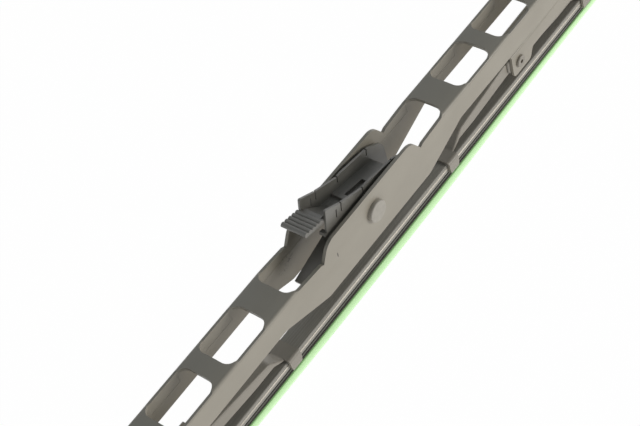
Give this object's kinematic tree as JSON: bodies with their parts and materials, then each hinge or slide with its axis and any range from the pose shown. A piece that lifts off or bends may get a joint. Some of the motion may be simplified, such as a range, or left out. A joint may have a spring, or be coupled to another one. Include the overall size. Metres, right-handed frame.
{
  "type": "windscreen wiper blade",
  "caption": "A framed windscreen wiper blade: a pressed ladder lever, jointed side levers with claw yokes, a hook adaptor with a thumb latch, and a pale green guard over the rubber lip.",
  "frame": {"origin": "on the axis of the centre rivet, midway between the lever's walls", "axes": "+X along the blade, +Y across it away from the viewer, +Z away from the glass"},
  "size_m": [0.61, 0.019, 0.0529],
  "materials": {
    "lever_paint": "satin",
    "rivet_steel": "satin",
    "spring_steel": "satin",
    "adaptor_plastic": "matt",
    "saddle_plastic": "matt",
    "rubber": "matt",
    "guard_plastic": "satin"
  },
  "bodies": {
    "adaptor": {"hook_adaptor": "adaptor_plastic"},
    "primary": {"primary_lever": "lever_paint", "centre_rivet": "rivet_steel", "secondary_rivet_left": "rivet_steel", "secondary_rivet_right": "rivet_steel", "wiper_rubber": "rubber", "vertebra_near": "spring_steel", "vertebra_far": "spring_steel", "blade_guard": "guard_plastic"},
    "secondary_left": {"secondary_lever_left": "lever_paint", "secondary_saddle_left": "saddle_plastic", "yoke_rivet_inner_left": "rivet_steel", "yoke_rivet_outer_left": "rivet_steel"},
    "yoke_inner_left": {"yoke_inner_left": "lever_paint", "yoke_saddle_inner_left": "saddle_plastic"},
    "yoke_outer_left": {"yoke_outer_left": "lever_paint", "yoke_saddle_outer_left": "saddle_plastic"},
    "secondary_right": {"secondary_lever_right": "lever_paint", "secondary_saddle_right": "saddle_plastic", "yoke_rivet_inner_right": "rivet_steel", "yoke_rivet_outer_right": "rivet_steel"},
    "yoke_inner_right": {"yoke_inner_right": "lever_paint", "yoke_saddle_inner_right": "saddle_plastic"},
    "yoke_outer_right": {"yoke_outer_right": "lever_paint", "yoke_saddle_outer_right": "saddle_plastic"}
  },
  "joints": [
    {"name": "adaptor_pivot", "type": "hinge", "parent": "adaptor", "child": "primary", "pos_m": [0, 0, 0], "axis": [0, 1, 0], "range_deg": [-20, 25]},
    {"name": "secondary_pivot_left", "type": "hinge", "parent": "primary", "child": "secondary_left", "pos_m": [-0.1736, 0, -0.002], "axis": [0, 1, 0], "range_deg": [-4, 4], "stiffness_Nm_per_rad": 0.5, "deforming": ["wiper_rubber", "vertebra_near", "vertebra_far", "blade_guard"]},
    {"name": "yoke_pivot_inner_left", "type": "hinge", "parent": "secondary_left", "child": "yoke_inner_left", "pos_m": [-0.0922, 0, -0.016], "axis": [0, 1, 0], "range_deg": [-6, 6], "stiffness_Nm_per_rad": 0.04, "deforming": ["wiper_rubber", "vertebra_near", "vertebra_far", "blade_guard"]},
    {"name": "yoke_pivot_outer_left", "type": "hinge", "parent": "secondary_left", "child": "yoke_outer_left", "pos_m": [-0.255, 0, -0.016], "axis": [0, 1, 0], "range_deg": [-6, 6], "stiffness_Nm_per_rad": 0.04, "deforming": ["wiper_rubber", "vertebra_near", "vertebra_far", "blade_guard"]},
    {"name": "secondary_pivot_right", "type": "hinge", "parent": "primary", "child": "secondary_right", "pos_m": [0.1704, 0, -0.002], "axis": [0, 1, 0], "range_deg": [-4, 4], "stiffness_Nm_per_rad": 0.5, "deforming": ["wiper_rubber", "vertebra_near", "vertebra_far", "blade_guard"]},
    {"name": "yoke_pivot_inner_right", "type": "hinge", "parent": "secondary_right", "child": "yoke_inner_right", "pos_m": [0.089, 0, -0.016], "axis": [0, 1, 0], "range_deg": [-6, 6], "stiffness_Nm_per_rad": 0.04, "deforming": ["wiper_rubber", "vertebra_near", "vertebra_far", "blade_guard"]},
    {"name": "yoke_pivot_outer_right", "type": "hinge", "parent": "secondary_right", "child": "yoke_outer_right", "pos_m": [0.2518, 0, -0.016], "axis": [0, 1, 0], "range_deg": [-6, 6], "stiffness_Nm_per_rad": 0.04, "deforming": ["wiper_rubber", "vertebra_near", "vertebra_far", "blade_guard"]}
  ]
}
